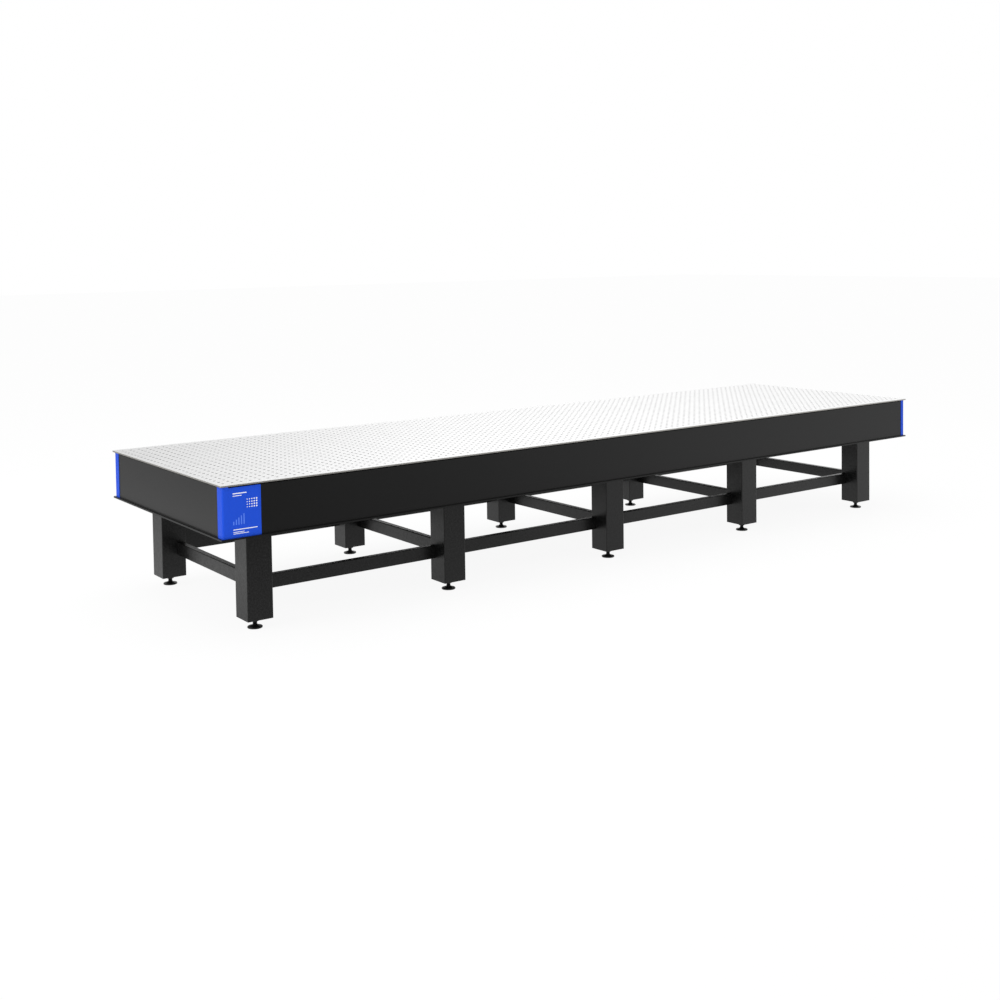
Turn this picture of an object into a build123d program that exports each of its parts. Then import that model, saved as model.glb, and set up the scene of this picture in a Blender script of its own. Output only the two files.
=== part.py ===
from build123d import *
import os

# Optical table: a honeycomb-core top on a welded steel frame with levelling feet.
# Millimetres, +Z up. X runs along the table, Y across it, and the front is at -Y.
# The origin is on the floor, under the middle of the top.

# Table top, overall
TOP_LENGTH = 5480
TOP_WIDTH = 1530
TABLE_HEIGHT = 800
TOP_THICKNESS = 280
SKIN_THICKNESS = 8
SKIN_CORNER_RADIUS = 6
SKIN_EDGE_BREAK = 1

# Tapped holes: the mounting patterns that are cut here lie on the grid
HOLE_PITCH = 50
HOLE_RADIUS = 3.2
CUP_ACROSS_FLATS = 12
CUP_DEPTH = 30
PATTERN_STEPS = 2
PATTERN_COLUMNS = (-40, 0, 40)

# Sides of the top
TRIM_INSET = 11
PANEL_STEP = 2
PANEL_THICKNESS = 13
SHADOW_GAP_HEIGHT = 8
SHADOW_GAP_DEPTH = 5
CORNER_SIDE_ARM = 34
CORNER_END_ARM = 60
CORNER_RADIUS = 10
CORNER_CLEARANCE = 0.3
LABEL_LENGTH = 176

# Frame: the top overhangs the legs more on the right than on the left
LEG_SIDE = 145
LEG_WALL = 6
LEG_CORNER_RADIUS = 5
LEG_FOOT_PLATE = 14
LEG_HEAD_PLATE = 10
LEG_PAIRS = 5
LEFT_OVERHANG = 187
RIGHT_OVERHANG = 268
SIDE_OVERHANG = 122
RAIL_HEIGHT = 75
RAIL_WIDTH = 40
RAIL_WALL = 4
RAIL_CORNER_RADIUS = 5
RAIL_UNDERSIDE = 181
CROSS_RAIL_INSET = 10

# Levelling feet
FOOT_HEIGHT = 54
PAD_RADIUS = 40
PAD_RIM_HEIGHT = 8
PAD_DISH_HEIGHT = 18
STUD_RADIUS = 12
NUT_ACROSS_FLATS = 36
NUT_THICKNESS = 20

# Levels and lines that follow
PLATE_UNDERSIDE = TABLE_HEIGHT - TOP_THICKNESS
CORE_BOTTOM = PLATE_UNDERSIDE + SKIN_THICKNESS
CORE_TOP = TABLE_HEIGHT - SKIN_THICKNESS
CORE_HEIGHT = CORE_TOP - CORE_BOTTOM
PANEL_INSET = TRIM_INSET + PANEL_STEP
CORE_INSET = PANEL_INSET + PANEL_THICKNESS
LEG_Y = TOP_WIDTH / 2 - SIDE_OVERHANG - LEG_SIDE / 2
LEG_PITCH = (TOP_LENGTH - LEFT_OVERHANG - RIGHT_OVERHANG - LEG_SIDE) / (LEG_PAIRS - 1)
FIRST_LEG_X = LEFT_OVERHANG + LEG_SIDE / 2 - TOP_LENGTH / 2
LEG_XS = [FIRST_LEG_X + pair * LEG_PITCH for pair in range(LEG_PAIRS)]
LONG_RAIL_SHIFT = (LEG_SIDE - RAIL_WIDTH) / 2
CROSS_RAIL_SHIFT = LONG_RAIL_SHIFT - CROSS_RAIL_INSET
RAIL_MIDDLE = RAIL_UNDERSIDE + RAIL_HEIGHT / 2

os.makedirs("parts", exist_ok=True)


def save(shape, node):
    export_step(shape, f"parts/{node}.step")


def hole_points():
    """Centres of the stated holes: a square of four round each chosen grid column."""
    reach = PATTERN_STEPS / 2 * HOLE_PITCH
    signs = (-1, 1)
    return [(column * HOLE_PITCH + i * reach, j * reach)
            for column in PATTERN_COLUMNS for i in signs for j in signs]


def sheet(bottom):
    """Steel sheet of the top's outline, with slightly rounded corners."""
    outline = RectangleRounded(TOP_LENGTH, TOP_WIDTH, SKIN_CORNER_RADIUS)
    return extrude(Pos(Z=bottom) * outline, SKIN_THICKNESS)


def top_skin():
    """Working surface: a sheet with a broken upper edge and tapped holes."""
    skin = sheet(CORE_TOP)
    rim = skin.faces().sort_by(Axis.Z)[-1].edges()
    skin = chamfer(rim, SKIN_EDGE_BREAK)
    hole = Pos(Z=CORE_TOP + SKIN_THICKNESS / 2) * Cylinder(HOLE_RADIUS, SKIN_THICKNESS)
    return skin - [Pos(x, y) * hole for x, y in hole_points()]


def honeycomb_core():
    """Core as a closed block, with a sealed hexagonal cup under each stated hole."""
    core = Pos(Z=CORE_BOTTOM + CORE_HEIGHT / 2) * Box(
        TOP_LENGTH - 2 * CORE_INSET, TOP_WIDTH - 2 * CORE_INSET, CORE_HEIGHT)
    cell = RegularPolygon(CUP_ACROSS_FLATS / 2, 6, major_radius=False)
    cup = extrude(Pos(Z=CORE_TOP - CUP_DEPTH) * cell, CUP_DEPTH)
    return core - [Pos(x, y) * cup for x, y in hole_points()]


def side_panel(length, half_span):
    """Panel along the front: a sheet on edge with a rebate under the skin as a shadow gap.

    It is as long as given and its outer face lies inside the edge at half_span.
    """
    face = PANEL_INSET - half_span
    back = CORE_INSET - half_span
    section = Polyline(
        (face, CORE_BOTTOM),
        (back, CORE_BOTTOM),
        (back, CORE_TOP),
        (face + SHADOW_GAP_DEPTH, CORE_TOP),
        (face + SHADOW_GAP_DEPTH, CORE_TOP - SHADOW_GAP_HEIGHT),
        (face, CORE_TOP - SHADOW_GAP_HEIGHT),
        close=True)
    return extrude(make_face(Plane.YZ * section), length / 2, both=True)


def corner_piece():
    """Corner cover of the front left corner: an unequal angle with a rounded outer edge."""
    x = TRIM_INSET - TOP_LENGTH / 2
    y = TRIM_INSET - TOP_WIDTH / 2
    depth = CORE_INSET - TRIM_INSET
    side = CORNER_SIDE_ARM
    end = CORNER_END_ARM
    outline = Polyline(
        (x, y), (x + side, y), (x + side, y + depth),
        (x + depth, y + depth), (x + depth, y + end), (x, y + end), close=True)
    angle = extrude(Pos(Z=CORE_BOTTOM) * make_face(outline), CORE_HEIGHT)
    outer = angle.edges().filter_by(Axis.Z).sort_by(lambda edge: edge.center().X + edge.center().Y)[0]
    return fillet(outer, CORNER_RADIUS)


def label_plate():
    """Flat plate on the front panel, flush with the corner cover beside it."""
    left = TRIM_INSET - TOP_LENGTH / 2 + CORNER_SIDE_ARM + CORNER_CLEARANCE
    front = TRIM_INSET - TOP_WIDTH / 2
    height = CORE_HEIGHT - SHADOW_GAP_HEIGHT
    return Pos(left + LABEL_LENGTH / 2, front + PANEL_STEP / 2, CORE_BOTTOM + height / 2) * Box(
        LABEL_LENGTH, PANEL_STEP, height)


def tube(width, depth, wall, radius, length):
    """Rectangular steel tube along Z, from 0 to its length, with rounded outer corners."""
    outer = RectangleRounded(width, depth, radius)
    inner = Rectangle(width - 2 * wall, depth - 2 * wall)
    return extrude(outer - inner, length)


def leg():
    """Square tube closed by a foot plate and a head plate, both set inside its walls."""
    length = PLATE_UNDERSIDE - FOOT_HEIGHT
    plug = Rectangle(LEG_SIDE - 2 * LEG_WALL, LEG_SIDE - 2 * LEG_WALL)
    post = tube(LEG_SIDE, LEG_SIDE, LEG_WALL, LEG_CORNER_RADIUS, length)
    post += extrude(plug, LEG_FOOT_PLATE)
    post += extrude(Pos(Z=length - LEG_HEAD_PLATE) * plug, LEG_HEAD_PLATE)
    return Pos(Z=FOOT_HEIGHT) * post


def levelling_foot():
    """Round dished pad on a threaded stud, with a hexagonal lock nut tight under the leg."""
    nut_base = FOOT_HEIGHT - NUT_THICKNESS
    profile = Polyline(
        (0, 0), (PAD_RADIUS, 0), (PAD_RADIUS, PAD_RIM_HEIGHT),
        (STUD_RADIUS, PAD_DISH_HEIGHT), (STUD_RADIUS, nut_base), (0, nut_base), close=True)
    foot = revolve(make_face(Plane.XZ * profile), Axis.Z)
    hexagon = RegularPolygon(NUT_ACROSS_FLATS / 2, 6, major_radius=False)
    return foot + extrude(Pos(Z=nut_base) * hexagon, NUT_THICKNESS)


def long_rail():
    """Rail along X between two neighbouring legs, flush with their back faces."""
    length = LEG_PITCH - LEG_SIDE
    rail = tube(RAIL_HEIGHT, RAIL_WIDTH, RAIL_WALL, RAIL_CORNER_RADIUS, length)
    return Pos(LEG_SIDE / 2, LONG_RAIL_SHIFT, RAIL_MIDDLE) * Rot(Y=90) * rail


def cross_rail():
    """Rail along Y between the front leg and the back leg of a pair, near their right faces."""
    length = 2 * LEG_Y - LEG_SIDE
    rail = tube(RAIL_WIDTH, RAIL_HEIGHT, RAIL_WALL, RAIL_CORNER_RADIUS, length)
    return Pos(CROSS_RAIL_SHIFT, length / 2, RAIL_MIDDLE) * Rot(X=90) * rail


def build_top():
    front_length = TOP_LENGTH - 2 * (TRIM_INSET + CORNER_SIDE_ARM + CORNER_CLEARANCE)
    end_length = TOP_WIDTH - 2 * (TRIM_INSET + CORNER_END_ARM + CORNER_CLEARANCE)
    front = side_panel(front_length, TOP_WIDTH / 2)
    end = side_panel(end_length, TOP_LENGTH / 2)
    corner = corner_piece()
    save(top_skin(), "top_skin")
    save(sheet(PLATE_UNDERSIDE), "bottom_plate")
    save(honeycomb_core(), "honeycomb_core")
    save(front, "front_side_panel")
    save(Rot(Z=180) * front, "back_side_panel")
    save(Rot(Z=-90) * end, "left_end_panel")
    save(Rot(Z=90) * end, "right_end_panel")
    save(corner, "corner_cover_front_left")
    save(mirror(corner, Plane.YZ), "corner_cover_front_right")
    save(mirror(corner, Plane.XZ), "corner_cover_back_left")
    save(Rot(Z=180) * corner, "corner_cover_back_right")
    save(label_plate(), "label_plate")


def build_frame():
    post = leg()
    foot = levelling_foot()
    rail = long_rail()
    tie = cross_rail()
    for side, y in (("front", -LEG_Y), ("back", LEG_Y)):
        for number, x in enumerate(LEG_XS, 1):
            save(Pos(x, y) * post, f"{side}_leg_{number}")
            save(Pos(x, y) * foot, f"{side}_levelling_foot_{number}")
        for number, x in enumerate(LEG_XS[:-1], 1):
            save(Pos(x, y) * rail, f"{side}_long_rail_{number}")
    for number, x in enumerate(LEG_XS, 1):
        save(Pos(X=x) * tie, f"cross_rail_{number}")


build_top()
build_frame()
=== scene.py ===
import math

import bmesh
import bpy
import numpy as np
from mathutils import Matrix, Vector


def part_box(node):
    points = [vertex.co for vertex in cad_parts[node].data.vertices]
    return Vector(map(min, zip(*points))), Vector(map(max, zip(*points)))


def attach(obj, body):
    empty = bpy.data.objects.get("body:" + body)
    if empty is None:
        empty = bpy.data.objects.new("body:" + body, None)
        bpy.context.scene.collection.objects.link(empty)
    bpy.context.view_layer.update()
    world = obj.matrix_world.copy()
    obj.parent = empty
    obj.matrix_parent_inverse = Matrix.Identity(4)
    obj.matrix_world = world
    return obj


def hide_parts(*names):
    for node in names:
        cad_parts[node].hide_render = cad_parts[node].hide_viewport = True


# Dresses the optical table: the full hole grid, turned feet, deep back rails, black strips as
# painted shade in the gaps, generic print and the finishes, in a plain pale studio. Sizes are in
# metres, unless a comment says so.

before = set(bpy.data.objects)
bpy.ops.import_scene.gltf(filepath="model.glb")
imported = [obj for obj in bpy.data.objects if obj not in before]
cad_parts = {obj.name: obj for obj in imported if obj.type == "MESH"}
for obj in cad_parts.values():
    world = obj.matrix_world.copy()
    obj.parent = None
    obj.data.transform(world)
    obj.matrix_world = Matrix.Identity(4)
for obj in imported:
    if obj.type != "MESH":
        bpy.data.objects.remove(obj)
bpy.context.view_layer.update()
MM = 0.001

# Top skin. The last hole is at least EDGE_MARGIN pitches from the edge.
SKIN_LOW, SKIN_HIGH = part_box("top_skin")
TOP_Z = SKIN_HIGH.z
SKIN_CORNER_RADIUS = 6 * MM
EDGE_BREAK = 1 * MM
EDGE_REACH = 40 * MM
EDGE_MARGIN = 0.6
FIELD_PIECES = 4

# Holes. A cell has four corners, and its hole has two points for each of them.
HOLE_PITCH = 50 * MM
CELL_CORNERS = 4
HOLE_SIDES = 2 * CELL_CORNERS
HOLE_RADIUS = 3.2 * MM
HOLE_DEPTH = 7.8 * MM
COUNTERSINK_RADIUS = 7.5 * MM
COUNTERSINK_DEPTH = 3.5 * MM

# Levelling feet. PAD_PROFILE gives points from the floor up to the neck, each as millimetres in
# from the pad's edge and millimetres up. NECK_PROFILE does it in millimetres out from the stud.
# A turn of the thread has THREAD_LOOPS loops. NUT_END_SHARE is the radius of the chamfer's cone at
# the nut's ends, as a share of half the width across its flats.
FOOT_COLUMNS = 48
PAD_PROFILE = (
    (3, 0), (1.2, 0.4), (0.2, 2), (0, 4), (0.2, 6.4), (1.2, 7.7), (2.6, 8.2), (4.2, 7.9),
    (5.6, 7.4), (10, 8.6), (16, 10.6), (21, 13.2), (25, 16.4))
NECK_PROFILE = ((2, 17.8), (0, 18.2))
STUD_RADIUS = 12 * MM
THREAD_START = 18.5 * MM
THREAD_PITCH = 3 * MM
THREAD_DEPTH = 1.2 * MM
THREAD_LOOPS = 4
NUT_FLATS = 36 * MM
NUT_THICKNESS = 20 * MM
NUT_END_SHARE = 0.97
CHAMFER_HEIGHTS = np.array((0, 0.6, 1.2, 1.8)) * MM
CHAMFER_SLOPE = math.sqrt(3)

# Back rails, and black strips in the gaps under the skin that are painted shade. The photograph
# shows no gap between the back rails and the top, so they are deeper than their solids.
BACK_RAIL_HEIGHT = 140 * MM
RAIL_RADIUS = 5 * MM
CORNER_POINTS = 6
GAP_HEIGHT = 8 * MM
GAP_DEPTH = 5 * MM
SHADE_STRIP_BULGE = 2.5 * MM
SHADE_STRIP_POINTS = 9

# Generic print, in millimetres from the label plate's lower left corner. A bar has a left, a
# bottom, a width and a height. A dot has a centre and a radius.
PRINT_THICKNESS = 0.1 * MM
PRINT_LEFT = 22
DOT_SIDES = 12
RULES = [
    (PRINT_LEFT, 222, 76, 5), (PRINT_LEFT, 211, 48, 3.5), (PRINT_LEFT, 40, 132, 4),
    (PRINT_LEFT, 28, 60, 3), (PRINT_LEFT, 20, 84, 3)]
DOTS = [(100 + 13 * i, 150 + 13 * j, 2.6 + 0.4 * i) for i in range(5) for j in range(4)]
RISING_BARS = [(PRINT_LEFT + 14 * i, 66, 6, 18 + 9 * i) for i in range(5)]

# Floor. The camera, metal and glass see it nearly white, with the table's shadow kept. The glow
# that gloss sees is painted dimmer in two patches, a painted shade that the metal reflects. Each
# patch has a place, the distance up to which it is dimmest, the one from which it isn't dimmed,
# and its lowest level. FLOOR_SHOWN is the share of the floor's own glow in what is seen.
FLOOR_REACH = 60
FLOOR_SHOWN = 0.92
PAINTED_DIM_PATCHES = (((-2.5, -5.0, 0), 1.5, 6.2, 0.1), ((-7.0, 6.0, 0), 2.0, 7.5, 0.3))

# World. Gloss sees the studio's near and far walls, towards -Y and +Y, a little dimmer. Each wall
# has two values of the direction's Y and the levels there.
LIGHT_LEVEL = 0.85
NEAR_WALL = (-0.95, -0.6, 0.3, 1)
FAR_WALL = (0.82, 0.95, 1, 0.42)

# Softboxes: name, place, aim, length and width, watts
SOFTBOXES = (
    ("left_softbox", (-9.0, -1.0, 4.5), (0, 0, 0.5), (6, 4), 200),
    ("overhead_softbox", (0, 1.0, 6.0), (0, 0, 0.8), (8, 5), 200))

# Camera, solved from edges measured in the photograph, for a 1000 by 1000 picture. The optical
# axis crosses it at AXIS_ROW. Rows are counted at the middle of a pixel, half a pixel in. Angles
# are in degrees, and yaw turns from +Y to +X. The sensor's width is in millimetres.
PIXELS = 1000
FOCAL_PIXELS = 1295.3
AXIS_ROW = 309.1
PIXEL_MIDDLE = 0.5
YAW, PITCH, ROLL = 36.31, 2.66, -0.789
CAMERA_PLACE = (-5.3897, -6.7297, 1.9550)
SENSOR_WIDTH = 36

WHITE = (1, 1, 1, 1)

MERGE_DISTANCE = 0.001 * MM

# Middle part of a noise value's range, which holds nearly all of it
NOISE_LOW, NOISE_HIGH = 0.3, 0.7


def linear(hexcolour):
    """sRGB hex to a linear RGBA tuple."""
    value = np.array([int(hexcolour[i:i + 2], 16) for i in (1, 3, 5)]) / 255
    low = value / 12.92
    high = ((value + 0.055) / 1.055) ** 2.4
    return (*np.where(value <= 0.04045, low, high), 1)


def add_node(owner, kind, settings=None, links=None):
    """Adds a node to a material or world, sets its sockets and properties and links its sockets.

    A socket is named or numbered. Any other name in the settings is a property of the node.
    """
    node = owner.node_tree.nodes.new(kind)
    for name, value in (settings or {}).items():
        if isinstance(name, int) or name in node.inputs:
            node.inputs[name].default_value = value
        else:
            setattr(node, name, value)
    for name, output in (links or {}).items():
        owner.node_tree.links.new(output, node.inputs[name])
    return node


def new_material(name, **surface):
    """Material with one Principled shader, set by socket name. Gives the material and shader."""
    material = bpy.data.materials.new(name)
    material.use_nodes = True
    shader = material.node_tree.nodes["Principled BSDF"]
    for socket, value in surface.items():
        shader.inputs[socket.replace("_", " ")].default_value = value
    return material, shader


def grain(material, scale, detail=2.0, stretch=(1, 1, 1)):
    """Noise in object space. Scale is in grains per metre, and stretch lengthens the grain."""
    coordinates = add_node(material, "ShaderNodeTexCoord").outputs["Object"]
    stretched = add_node(material, "ShaderNodeMapping", {"Scale": stretch}, {"Vector": coordinates})
    return add_node(material, "ShaderNodeTexNoise", {"Scale": scale, "Detail": detail},
                    {"Vector": stretched.outputs["Vector"]}).outputs["Fac"]


def vary(material, shader, colours, roughness, relief=None):
    """Lets a surface vary with noise.

    Colours are a noise and the two hex colours that it blends. Roughness is a noise and the
    values at the ends of its middle range. Relief is a noise and a depth in metres.
    """
    tone, first, second = colours
    blend = add_node(material, "ShaderNodeMix",
                     {"data_type": "RGBA", 6: linear(first), 7: linear(second)}, {"Factor": tone})
    wear, low, high = roughness
    worn = add_node(material, "ShaderNodeMapRange",
                    {"From Min": NOISE_LOW, "From Max": NOISE_HIGH, "To Min": low, "To Max": high},
                    {"Value": wear})
    connect = material.node_tree.links.new
    connect(blend.outputs[2], shader.inputs["Base Color"])
    connect(worn.outputs["Result"], shader.inputs["Roughness"])
    if relief:
        height, depth = relief
        raised = add_node(material, "ShaderNodeBump", {"Strength": 1.0, "Distance": depth},
                          {"Height": height})
        connect(raised.outputs["Normal"], shader.inputs["Normal"])


def ground_stainless():
    """Stainless sheet, sanded with an orbital pad: satin, with soft cloudy variation.

    The clouds are about 140 mm wide, and the marks of the sanding 1 mm.
    """
    material, shader = new_material("ground_stainless_steel", Metallic=1.0)
    cloud = grain(material, 7, 3)
    sanding = grain(material, 900)
    vary(material, shader, (cloud, "#efefef", "#f8f8f8"), (sanding, 0.30, 0.38),
         (sanding, 0.02 * MM))
    return material


def sheared_steel():
    """Cut edge of the steel sheet: duller and darker than its ground face, with shear marks.

    The marks are about 2 mm apart and run the height of the edge.
    """
    material, shader = new_material("sheared_steel_edge", Metallic=1.0)
    marks = grain(material, 500, stretch=(1, 1, 0.1))
    vary(material, shader, (marks, "#a6a4a0", "#b8b6b2"), (marks, 0.42, 0.55), (marks, 0.05 * MM))
    return material


def countersink_steel_with_painted_shade():
    """Cones round the holes, cut with a countersink: coloured much darker than the ground face, as
    painted shade in the hollows.

    The tool's rings are drawn about 1.3 mm apart, as coarse as they need to show.
    """
    material, shader = new_material("countersink_steel_with_painted_shade", Metallic=1.0)
    rings = grain(material, 800, 1, (0.2, 0.2, 1))
    vary(material, shader, (rings, "#4c4c4c", "#626262"), (rings, 0.38, 0.5))
    return material


def tapped_steel_with_painted_shade():
    """Walls of the tapped holes: cut steel with the thread's fine turns, coloured nearly black as
    painted shade deep in the holes.

    The real turns are 1 mm apart. They are drawn at about 1.4 mm.
    """
    material, shader = new_material("tapped_hole_steel_painted_shade", Metallic=1.0)
    turns = grain(material, 700, 1, (0.1, 0.1, 1))
    vary(material, shader, (turns, "#1c1c1c", "#303030"), (turns, 0.45, 0.6))
    return material


def smooth_black_paint():
    """Black paint on sheet steel, rolled smooth and semi-matt, with a faint orange peel of 4 mm."""
    material, shader = new_material("semi_matt_black_paint", IOR=1.37)
    peel = grain(material, 260)
    vary(material, shader, (peel, "#070707", "#0e0e0e"), (peel, 0.30, 0.38), (peel, 0.04 * MM))
    return material


def powder_coat():
    """Black powder coat baked on the steel frame: semi-gloss, with a fine sandy texture.

    The real grains are about 0.7 mm. They are drawn at about 9 mm, as coarse as they need to show.
    """
    material, shader = new_material("textured_black_powder_coat", IOR=1.42)
    sand = grain(material, 115, 1)
    patch = grain(material, 40)
    speckle = add_node(material, "ShaderNodeMapRange",
                       {"From Min": NOISE_LOW, "From Max": NOISE_HIGH}, {"Value": sand})
    vary(material, shader, (speckle.outputs["Result"], "#000000", "#1a1a1a"), (patch, 0.28, 0.36),
         (sand, 0.7 * MM))
    return material


def blue_lacquer():
    """Blue lacquer on aluminium covers, sprayed satin, with a faint orange peel of 3 mm."""
    material, shader = new_material("satin_blue_lacquer", IOR=1.3)
    peel = grain(material, 320)
    vary(material, shader, (peel, "#0a48cf", "#104dd5"), (peel, 0.45, 0.52), (peel, 0.03 * MM))
    return material


def screen_print(name, thin, full):
    """Ink printed on the lacquer through a screen: flat, matt, uneven in cover over 2 mm."""
    material, shader = new_material(name, IOR=1.45)
    cover = grain(material, 500)
    vary(material, shader, (cover, thin, full), (cover, 0.5, 0.6))
    return material


def blackened_steel():
    """Levelling feet: turned steel, chemically blackened and oiled, worn in patches of 2 mm."""
    material, shader = new_material("blackened_steel", Metallic=0.2)
    wear = grain(material, 420, 3)
    vary(material, shader, (wear, "#0c0c0c", "#1a1a1a"), (wear, 0.3, 0.45), (wear, 0.05 * MM))
    return material


def black_gap_painted_shade():
    """Painted shade in the gap under the skin: a matt black strip put where there is only shadow,
    its black varied in streaks along the gap.
    """
    material, shader = new_material("matt_black_gap_painted_shade", Specular_IOR_Level=0.1)
    smear = grain(material, 60, stretch=(0.1, 0.1, 1))
    vary(material, shader, (smear, "#010101", "#050505"), (smear, 0.8, 0.95))
    return material


def make_mesh(name, vertices, faces, materials, which=None):
    """Mesh object from arrays of vertices and of faces, with a material index for each face."""
    mesh = bpy.data.meshes.new(name)
    mesh.from_pydata(np.asarray(vertices, float), [], [list(face) for face in faces])
    for material in materials:
        mesh.materials.append(material)
    if which is not None:
        mesh.polygons.foreach_set("material_index", np.asarray(which, dtype=np.int32))
    mesh.update()
    piece = bpy.data.objects.new(name, mesh)
    bpy.context.scene.collection.objects.link(piece)
    return piece


def cleaned(piece, closed=True):
    """Joins the vertices that lie on each other and turns a closed piece's faces outwards."""
    mesh = bmesh.new()
    mesh.from_mesh(piece.data)
    bmesh.ops.remove_doubles(mesh, verts=mesh.verts, dist=MERGE_DISTANCE)
    if closed:
        bmesh.ops.recalc_face_normals(mesh, faces=mesh.faces)
    mesh.to_mesh(piece.data)
    mesh.free()
    return piece


def unit_ring(count, start=0.0):
    """Points of a regular polygon on the unit circle, anticlockwise from the start angle."""
    angles = start + np.arange(count) * 2 * math.pi / count
    return np.stack([np.cos(angles), np.sin(angles)], 1)


def at_height(flat, z):
    """Loop of plane points, lifted to one height."""
    return np.column_stack([flat, np.full(len(flat), z)])


def rounded_loop(half_x, half_y, radius):
    """Rectangle with quarter-circle corners, anticlockwise, as an array of points."""
    turn = np.linspace(0, math.pi / 2, CORNER_POINTS)
    parts = []
    for quarter, (side_x, side_y) in enumerate(((1, 1), (-1, 1), (-1, -1), (1, -1))):
        angle = turn + quarter * math.pi / 2
        parts.append(np.stack([
            side_x * (half_x - radius) + radius * np.cos(angle),
            side_y * (half_y - radius) + radius * np.sin(angle)], 1))
    return np.concatenate(parts)


def carried(loops):
    """Quads between neighbouring loops of equally many points, each loop closed on itself."""
    count = len(loops[0])
    i, j = np.meshgrid(np.arange(len(loops) - 1), np.arange(count), indexing="ij")
    after = (j + 1) % count
    quads = np.stack(
        [i * count + j, (i + 1) * count + j, (i + 1) * count + after, i * count + after], -1)
    return np.concatenate(loops), quads.reshape(-1, 4).tolist()


def capped(loops):
    """Quads between neighbouring loops, with the first and last loops closed by a flat face."""
    vertices, quads = carried(loops)
    count = len(loops[0])
    last = len(vertices) - count
    return vertices, quads + [list(range(count))[::-1], list(range(last, last + count))]


def hole_field(xs, ys):
    """One square cell for each hole centre, with a countersink, a wall and a bottom.

    Each ring is a regular polygon round the hole's axis. Faces run from the cell's four corners
    to the countersink's mouth, down its cone and the wall, and over the bottom. Gives the
    vertices, the faces and each face's finish: 0 ground, 1 countersunk, 2 tapped.
    """
    quarter = math.pi / CELL_CORNERS
    ring = unit_ring(HOLE_SIDES, quarter + math.pi / HOLE_SIDES)
    cell = np.concatenate([
        at_height(unit_ring(CELL_CORNERS, quarter) * HOLE_PITCH / math.sqrt(2), 0),
        at_height(ring * COUNTERSINK_RADIUS, 0),
        at_height(ring * HOLE_RADIUS, -COUNTERSINK_DEPTH),
        at_height(ring * HOLE_RADIUS, -HOLE_DEPTH)])
    grid_x, grid_y = np.meshgrid(xs, ys, indexing="ij")
    centres = at_height(np.stack([grid_x.ravel(), grid_y.ravel()], 1), TOP_Z)
    vertices = (centres[:, None, :] + cell[None]).reshape(-1, 3)

    def at(ring_number, step):
        """Number of a ring's point in the cell."""
        return CELL_CORNERS + ring_number * HOLE_SIDES + step % HOLE_SIDES

    # Points 2k - 1 and 2k of the mouth lie on either side of corner k
    corners = range(CELL_CORNERS)
    wedges = [(k, at(0, 2 * k), at(0, 2 * k - 1)) for k in corners]
    flats = [(k, (k + 1) % CELL_CORNERS, at(0, 2 * k + 1), at(0, 2 * k)) for k in corners]
    cone, wall = (
        [(at(i, k), at(i, k + 1), at(i + 1, k + 1), at(i + 1, k)) for k in range(HOLE_SIDES)]
        for i in (0, 1))
    bottom = [tuple(at(2, k) for k in range(HOLE_SIDES))]
    starts = np.arange(len(centres)) * len(cell)
    faces = []
    which = []
    for group, finish in ((wedges, 0), (flats, 0), (cone, 1), (wall, 2), (bottom, 2)):
        block = (starts[:, None, None] + np.array(group)[None]).reshape(-1, len(group[0]))
        faces.extend(block.tolist())
        which.extend([finish] * len(block))
    return vertices, faces, which


def grid_columns(low, high):
    """Centres of the holes between two edges: whole steps of the pitch from the middle."""
    half = (high - low) / 2
    reach = int(half // HOLE_PITCH)
    if half - reach * HOLE_PITCH < HOLE_PITCH * EDGE_MARGIN:
        reach -= 1
    return np.arange(-reach, reach + 1) * HOLE_PITCH


def skin_rim(finishes, inner_x, inner_y):
    """Edge of the skin: a profile carried round the outline.

    The profile runs from the hole field out to the broken edge, down the side and back in
    under the skin. Each profile point is an offset in from the outline and a height.
    """
    cut = EDGE_BREAK * (1 - math.sqrt(0.5))
    profile = (
        (EDGE_BREAK, TOP_Z),
        (cut, TOP_Z - cut),
        (0, TOP_Z - EDGE_BREAK),
        (0, SKIN_LOW.z + cut),
        (cut, SKIN_LOW.z),
        (EDGE_REACH, SKIN_LOW.z))
    loops = [at_height(rounded_loop(inner_x, inner_y, 0), TOP_Z)]
    for offset, z in profile:
        radius = max(SKIN_CORNER_RADIUS - offset, 0)
        loops.append(at_height(rounded_loop(SKIN_HIGH.x - offset, SKIN_HIGH.y - offset, radius), z))
    vertices, quads = carried(loops)
    which = (np.arange(len(quads)) // len(loops[0]) > 0).astype(int)
    return cleaned(make_mesh("top_skin_rim", vertices, quads, finishes, which), closed=False)


def perforated_skin(finishes, edge):
    """Top skin with every hole of the grid, as strips, and a rim round them."""
    xs = grid_columns(SKIN_LOW.x, SKIN_HIGH.x)
    ys = grid_columns(SKIN_LOW.y, SKIN_HIGH.y)
    pieces = []
    for number, strip in enumerate(np.array_split(xs, FIELD_PIECES), 1):
        vertices, faces, which = hole_field(strip, ys)
        pieces.append(make_mesh(f"top_skin_holes_{number}", vertices, faces, finishes, which))
    half = HOLE_PITCH / 2
    pieces.append(skin_rim((finishes[0], edge), xs[-1] + half, ys[-1] + half))
    return pieces


def turned(profile):
    """Surface of revolution about Z: each profile point, a radius and a height, is a loop."""
    ring = unit_ring(FOOT_COLUMNS)
    return [at_height(ring * radius, z) for radius, z in profile]


def thread(low, high):
    """Screw thread: the radius falls from its crest in a triangle wave of height and angle."""
    ring = unit_ring(FOOT_COLUMNS)
    turns = np.arange(FOOT_COLUMNS) / FOOT_COLUMNS
    loops = []
    for z in np.arange(low, high, THREAD_PITCH / THREAD_LOOPS):
        wave = np.abs(((z / THREAD_PITCH - turns) % 1) * 2 - 1)
        reach = STUD_RADIUS - THREAD_DEPTH * wave
        loops.append(at_height(ring * reach[:, None], z))
    return loops


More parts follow.
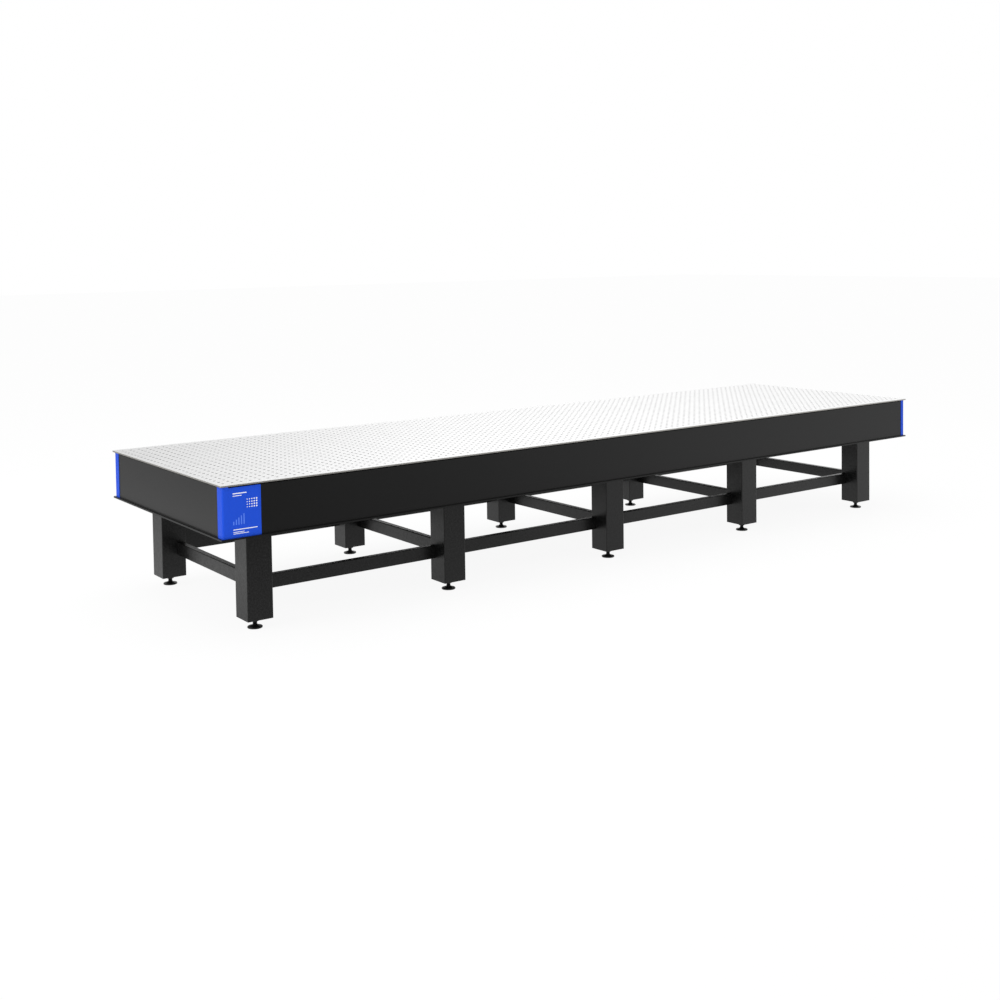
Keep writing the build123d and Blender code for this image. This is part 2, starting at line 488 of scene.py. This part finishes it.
def lock_nut(low, high):
    """Nut: the distance to six flats, cut by the cone of each chamfered end."""
    ring = unit_ring(FOOT_COLUMNS)
    angles = np.arange(FOOT_COLUMNS) * 2 * math.pi / FOOT_COLUMNS
    from_flat = (angles + math.pi / 6) % (math.pi / 3) - math.pi / 6
    flats = NUT_FLATS / 2 / np.cos(from_flat)
    loops = []
    for z in (*(low + CHAMFER_HEIGHTS), *(high - CHAMFER_HEIGHTS[::-1])):
        cone = NUT_FLATS / 2 * NUT_END_SHARE + min(z - low, high - z) * CHAMFER_SLOPE
        loops.append(at_height(ring * np.minimum(flats, cone)[:, None], z))
    return loops


def levelling_foot(name, finish):
    """Dished pad with a rolled rim, threaded stud and chamfered lock nut, turned about one axis."""
    low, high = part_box(name)
    pad_radius = (high.x - low.x) / 2
    nut_low = high.z - NUT_THICKNESS
    profile = [(0, 0)]
    profile += [(pad_radius - inward * MM, z * MM) for inward, z in PAD_PROFILE]
    profile += [(STUD_RADIUS + outward * MM, z * MM) for outward, z in NECK_PROFILE]
    loops = turned(profile)
    loops += thread(THREAD_START, nut_low)
    loops += lock_nut(nut_low, high.z)
    loops += turned(((0, high.z),))
    vertices, quads = carried(loops)
    vertices = vertices + np.array([(low.x + high.x) / 2, (low.y + high.y) / 2, 0])
    return cleaned(make_mesh(f"{name}_turned", vertices, quads, (finish,)))


def deep_rail(name, finish):
    """Rectangular tube along X with rounded edges, in the rail's place but deeper upwards."""
    low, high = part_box(name)
    half_y = (high.y - low.y) / 2
    half_z = BACK_RAIL_HEIGHT / 2
    section = rounded_loop(half_y, half_z, RAIL_RADIUS) + np.array([low.y + half_y, low.z + half_z])
    loops = [np.column_stack([np.full(len(section), x), section]) for x in (low.x, high.x)]
    return cleaned(make_mesh(f"{name}_deep", *capped(loops), (finish,)))


def gap_painted_shade_strip(name, finish):
    """Painted shade in the gap over a panel: a half ellipse carried along the panel's length, put
    where there is only shadow.
    """
    low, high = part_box(name)
    along_x = high.x - low.x > high.y - low.y
    along, across = (0, 1) if along_x else (1, 0)
    side = -1 if low[across] + high[across] < 0 else 1
    outer_face = low[across] if side < 0 else high[across]
    turn = np.linspace(-math.pi / 2, math.pi / 2, SHADE_STRIP_POINTS)
    depth = outer_face + side * (SHADE_STRIP_BULGE * np.cos(turn) - GAP_DEPTH)
    z = high.z + GAP_HEIGHT / 2 * (np.sin(turn) - 1)
    loops = []
    for end in (low[along], high[along]):
        length = np.full(SHADE_STRIP_POINTS, end)
        loops.append(np.column_stack([length, depth, z] if along_x else [depth, length, z]))
    return cleaned(make_mesh(f"{name}_gap_painted_shade_strip", *capped(loops), (finish,)))


def printed_marks(name, finish, bars, dots=()):
    """Flat marks just in front of the label plate. A dot is a regular polygon."""
    low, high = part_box("label_plate")
    ring = unit_ring(DOT_SIDES)
    square = np.array([(0, 0), (1, 0), (1, 1), (0, 1)])
    shapes = [np.array(bar[:2]) + square * np.array(bar[2:]) for bar in bars]
    shapes += [np.array(dot[:2]) + ring * dot[2] for dot in dots]
    flat = np.concatenate(shapes) * MM
    front = np.full(len(flat), low.y - PRINT_THICKNESS)
    vertices = np.column_stack([low.x + flat[:, 0], front, low.z + flat[:, 1]])
    starts = np.cumsum([0] + [len(shape) for shape in shapes])
    faces = [range(start, end) for start, end in zip(starts[:-1], starts[1:])]
    return make_mesh(name, vertices, faces, (finish,))


def dress(nodes, material):
    """Gives solids of the frame their material."""
    for name in nodes:
        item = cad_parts[name]
        item.data.materials.clear()
        item.data.materials.append(material)


def fit(piece, node=None):
    """Rides the piece on the table and hides the solid that it stands for, if one is given."""
    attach(piece, "root")
    if node:
        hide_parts(node)


def named(*words):
    """Names of the frame's nodes that hold one of the words."""
    return [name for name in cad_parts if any(word in name for word in words)]


def studio_floor():
    """Pale floor, one large square, whose glow is painted dimmer in two patches where metal and
    glass see it.
    """
    corners = at_height(unit_ring(4, math.pi / 4) * FLOOR_REACH * math.sqrt(2), 0)
    material, shader = new_material("pale_floor", Roughness=1.0, Base_Color=linear("#f6f6f6"))
    rays = add_node(material, "ShaderNodeLightPath").outputs
    coordinates = add_node(material, "ShaderNodeTexCoord").outputs["Object"]
    dimmed = []
    # Painted shade in the glow: dimmer near each patch's place.
    for corner, near, far, low in PAINTED_DIM_PATCHES:
        distance = add_node(material, "ShaderNodeVectorMath", {"operation": "DISTANCE", 1: corner},
                            {0: coordinates})
        dimmed.append(add_node(
            material, "ShaderNodeMapRange",
            {"From Min": near, "From Max": far, "To Min": low, "To Max": 1},
            {"Value": distance.outputs["Value"]}).outputs["Result"])
    darker = add_node(material, "ShaderNodeMath", {"operation": "MINIMUM"},
                      {0: dimmed[0], 1: dimmed[1]})
    level = add_node(material, "ShaderNodeMath", {"operation": "MAXIMUM"},
                     {0: rays["Is Camera Ray"], 1: darker.outputs[0]})
    glow = add_node(material, "ShaderNodeEmission", {"Color": WHITE},
                    {"Strength": level.outputs[0]})
    mirrored = add_node(material, "ShaderNodeMath", {"operation": "MAXIMUM"},
                        {0: rays["Is Glossy Ray"], 1: rays["Is Transmission Ray"]})
    seen = add_node(material, "ShaderNodeMath", {"operation": "MAXIMUM"},
                    {0: rays["Is Camera Ray"], 1: mirrored.outputs[0]})
    shown = add_node(material, "ShaderNodeMath", {"operation": "MULTIPLY", 1: FLOOR_SHOWN},
                     {0: seen.outputs[0]})
    mix = add_node(material, "ShaderNodeMixShader", None,
                   {0: shown.outputs[0], 1: shader.outputs[0], 2: glow.outputs[0]})
    material.node_tree.links.new(mix.outputs[0],
                                 material.node_tree.nodes["Material Output"].inputs["Surface"])
    return make_mesh("floor", corners, [(0, 1, 2, 3)], (material,))


def studio_world():
    """Soft even light, which the camera sees as white and gloss sees with dimmer walls."""
    world = bpy.data.worlds.new("studio")
    world.use_nodes = True
    soft = world.node_tree.nodes["Background"]
    soft.inputs["Strength"].default_value = LIGHT_LEVEL
    soft.inputs["Color"].default_value = WHITE
    rays = add_node(world, "ShaderNodeLightPath").outputs
    coordinates = add_node(world, "ShaderNodeTexCoord").outputs["Generated"]
    direction = add_node(world, "ShaderNodeSeparateXYZ", None, {0: coordinates}).outputs["Y"]
    walls = [
        add_node(world, "ShaderNodeMapRange",
                 {"From Min": start, "From Max": end, "To Min": low, "To Max": high},
                 {"Value": direction}).outputs["Result"]
        for start, end, low, high in (NEAR_WALL, FAR_WALL)]
    dimmer = add_node(world, "ShaderNodeMath", {"operation": "MINIMUM"}, {0: walls[0], 1: walls[1]})
    level = add_node(world, "ShaderNodeMath", {"operation": "MAXIMUM"},
                     {0: rays["Is Camera Ray"], 1: dimmer.outputs[0]})
    plain = add_node(world, "ShaderNodeBackground", {"Color": WHITE},
                     {"Strength": level.outputs[0]})
    mirrored = add_node(world, "ShaderNodeMath", {"operation": "MAXIMUM"},
                        {0: rays["Is Glossy Ray"], 1: rays["Is Transmission Ray"]})
    seen = add_node(world, "ShaderNodeMath", {"operation": "MAXIMUM"},
                    {0: rays["Is Camera Ray"], 1: mirrored.outputs[0]})
    backdrop = add_node(world, "ShaderNodeMixShader", None,
                        {0: seen.outputs[0], 1: soft.outputs[0], 2: plain.outputs[0]})
    world.node_tree.links.new(backdrop.outputs[0],
                              world.node_tree.nodes["World Output"].inputs["Surface"])
    return world


def softbox(name, place, aim, size, power):
    """Rectangular lamp that faces its aim."""
    lamp = bpy.data.lights.new(name, "AREA")
    lamp.shape = "RECTANGLE"
    lamp.size, lamp.size_y = size
    lamp.energy = power
    item = bpy.data.objects.new(name, lamp)
    bpy.context.scene.collection.objects.link(item)
    item.location = place
    item.rotation_euler = (Vector(aim) - Vector(place)).to_track_quat("-Z", "Y").to_euler()


def photograph_camera():
    """Camera at the photograph's viewing angle, with its horizon raised by a vertical shift."""
    data = bpy.data.cameras.new("camera")
    data.sensor_width = SENSOR_WIDTH
    data.lens = FOCAL_PIXELS * SENSOR_WIDTH / PIXELS
    data.shift_y = (AXIS_ROW + PIXEL_MIDDLE - PIXELS / 2) / PIXELS
    camera = bpy.data.objects.new("camera", data)
    bpy.context.scene.collection.objects.link(camera)
    yaw, pitch, roll = (math.radians(angle) for angle in (YAW, PITCH, ROLL))
    forward = Vector((math.sin(yaw) * math.cos(pitch), math.cos(yaw) * math.cos(pitch),
                      -math.sin(pitch)))
    sideways = Vector((math.cos(yaw), -math.sin(yaw), 0))
    upright = sideways.cross(forward)
    right = sideways * math.cos(roll) + upright * math.sin(roll)
    up = upright * math.cos(roll) - sideways * math.sin(roll)
    turn = Matrix((right, up, -forward)).transposed().to_4x4()
    camera.matrix_world = Matrix.Translation(CAMERA_PLACE) @ turn
    return camera


steel = ground_stainless()
coat = powder_coat()
black_foot = blackened_steel()
gap_painted_shade_black = black_gap_painted_shade()
dress(named("leg", "rail"), coat)
dress(named("levelling_foot"), black_foot)
dress(named("panel", "bottom_plate"), smooth_black_paint())
dress(named("corner_cover", "label_plate"), blue_lacquer())
dress(named("top_skin", "honeycomb_core"), steel)

for piece in perforated_skin((steel, countersink_steel_with_painted_shade(), tapped_steel_with_painted_shade()), sheared_steel()):
    fit(piece, "top_skin")
for name in named("levelling_foot"):
    fit(levelling_foot(name, black_foot), name)
for name in named("back_long_rail"):
    fit(deep_rail(name, coat), name)
# Dark strips in the gaps over the panels: painted shade.
for name in named("panel"):
    fit(gap_painted_shade_strip(name, gap_painted_shade_black))
white_ink = screen_print("white_screen_ink", "#e9eefc", "#ffffff")
pale_ink = screen_print("pale_blue_screen_ink", "#4a78ea", "#5884f0")
fit(printed_marks("label_print_white", white_ink, RULES, DOTS))
fit(printed_marks("label_print_pale", pale_ink, RISING_BARS))

studio_floor()
bpy.context.scene.world = studio_world()
for box in SOFTBOXES:
    softbox(*box)
bpy.context.scene.camera = photograph_camera()
bpy.context.scene.view_settings.view_transform = "Standard"
